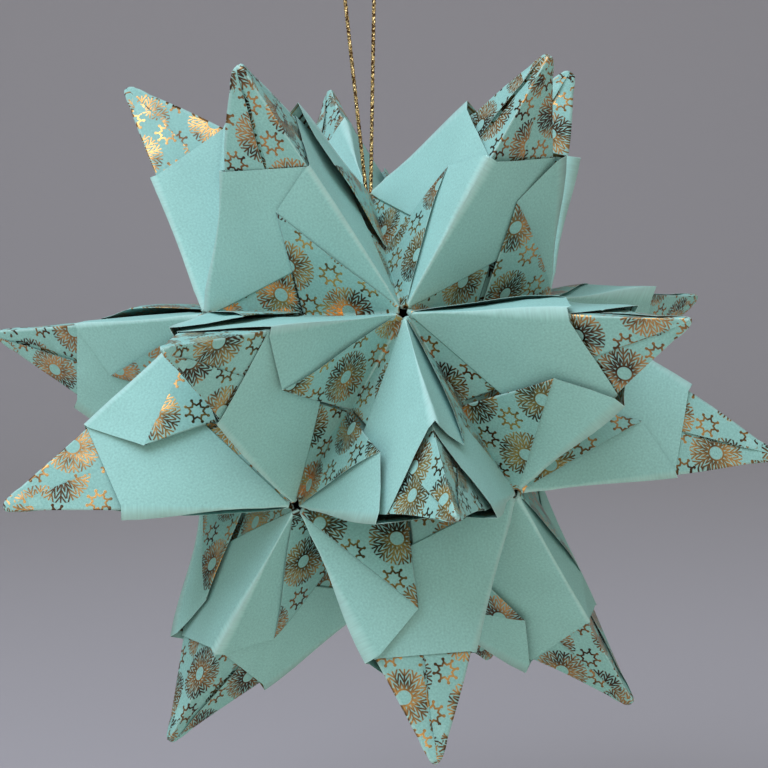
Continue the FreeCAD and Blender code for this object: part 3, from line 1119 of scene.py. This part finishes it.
def sweep():
    """A strip drawn as one profile and extruded sideways."""
    bm = bmesh.new()
    floor_z = lowest.z - FLOOR_DROP
    profile = [Vector((-FLOOR_SIDE, -FLOOR_FRONT, floor_z)), Vector((-FLOOR_SIDE, WALL_START, floor_z))]
    for step in range(1, BEND_STEPS + 1):
        angle = math.pi / 2 * step / BEND_STEPS
        back, rise = BEND * math.sin(angle), BEND * (1 - math.cos(angle))
        profile.append(Vector((-FLOOR_SIDE, WALL_START + back, floor_z + rise)))
    profile.append(Vector((-FLOOR_SIDE, WALL_START + BEND, floor_z + WALL_HEIGHT)))
    verts = [bm.verts.new(point) for point in profile]
    edges = [bm.edges.new(pair) for pair in zip(verts, verts[1:])]
    wide = bmesh.ops.extrude_edge_only(bm, edges=edges)
    moved = [item for item in wide["geom"] if isinstance(item, bmesh.types.BMVert)]
    bmesh.ops.translate(bm, verts=moved, vec=(2 * FLOOR_SIDE, 0, 0))
    bmesh.ops.recalc_face_normals(bm, faces=bm.faces)
    for face in bm.faces:
        face.smooth = True
    mesh = bpy.data.meshes.new("backdrop")
    bm.to_mesh(mesh)
    bm.free()
    return mesh


backdrop = bpy.data.objects.new("backdrop", sweep())
bpy.context.scene.collection.objects.link(backdrop)
backdrop_finish = bpy.data.materials.new("backdrop")
backdrop_finish.use_nodes = True
backdrop_tree = backdrop_finish.node_tree
backdrop_shader = backdrop_tree.nodes["Principled BSDF"]
ray = add_node(backdrop_tree, "ShaderNodeLightPath").outputs
looked_at = calc(backdrop_tree, "ADD", ray["Is Camera Ray"], ray["Is Glossy Ray"], clamp=True)
shade = blend_colour(backdrop_tree, looked_at, FLOOR_BOUNCE, FLOOR_COLOUR)
feed(backdrop_tree, backdrop_shader.inputs["Base Color"], shade)
backdrop_shader.inputs["Roughness"].default_value = 0.9
backdrop.data.materials.append(backdrop_finish)

# %% [markdown]
# The light is soft and comes from all round, as in a bright room. A wide cool lamp overhead makes the faces
# that look up and to the left the lightest ones, and a weaker, warmer one stands behind the camera.

# %% Light
ROOM_LIGHT = (0.37, 0.395, 0.37, 1)
ROOM_SEEN = (0.30, 0.29, 0.33, 1)


def soft_lamp(name, place, size, power, colour):
    """A square lamp that looks at the star."""
    lamp = bpy.data.lights.new(name, "AREA")
    lamp.size = size
    lamp.energy = power
    lamp.color = colour
    holder = bpy.data.objects.new(name, lamp)
    holder.location = star_centre + Vector(place)
    holder.rotation_mode = "QUATERNION"
    holder.rotation_quaternion = Vector(place).to_track_quat("Z", "Y")
    bpy.context.scene.collection.objects.link(holder)


soft_lamp("overhead", (-0.45, -0.45, 1.10), 1.3, 18, (0.80, 0.90, 1.0))
soft_lamp("front", (0.15, -1.35, 0.15), 0.9, 3.6, (1.0, 0.93, 0.78))
world = bpy.data.worlds.new("room")
bpy.context.scene.world = world
world.use_nodes = True
world_background = world.node_tree.nodes["Background"]
seen = add_node(world.node_tree, "ShaderNodeLightPath").outputs["Is Camera Ray"]
shade = blend_colour(world.node_tree, seen, ROOM_LIGHT, ROOM_SEEN)
feed(world.node_tree, world_background.inputs[0], shade)
world_background.inputs[1].default_value = 1.0

# %% [markdown]
# The camera stands where the photograph was taken from: level with the star, a little above it, and turned
# slightly about its own line of sight, so that the cord leans.

# %% Camera
TIP_RADIUS = spike_tip.length
CAMERA_DISTANCE = 5.405 * TIP_RADIUS
CAMERA_HEIGHT = math.radians(4.49)
CAMERA_ROLL = math.radians(2.62)
STAR_ACROSS = -0.0157 * TIP_RADIUS
STAR_UP = -0.0252 * TIP_RADIUS
PIXELS_PER_TIP_RADIUS = 404.5
IMAGE_WIDTH = 768
SENSOR = 36.0

camera_data = bpy.data.cameras.new("camera")
camera = bpy.data.objects.new("camera", camera_data)
bpy.context.scene.collection.objects.link(camera)
bpy.context.scene.camera = camera
camera_data.sensor_width = SENSOR
camera_data.lens = SENSOR * PIXELS_PER_TIP_RADIUS * CAMERA_DISTANCE / TIP_RADIUS / IMAGE_WIDTH
backward = Vector((0, -math.cos(CAMERA_HEIGHT), math.sin(CAMERA_HEIGHT)))
level_turn = backward.to_track_quat("Z", "Y").to_matrix()
view_turn = level_turn @ Matrix.Rotation(-CAMERA_ROLL, 3, "Z")
right, up = view_turn.col[0], view_turn.col[1]
camera.rotation_mode = "QUATERNION"
camera.rotation_quaternion = view_turn.to_quaternion()
camera.location = star_centre + backward * CAMERA_DISTANCE - right * STAR_ACROSS - up * STAR_UP
camera_data.clip_start, camera_data.clip_end = 0.01, 20

# %% Finish
bpy.context.scene.view_settings.view_transform = "Standard"
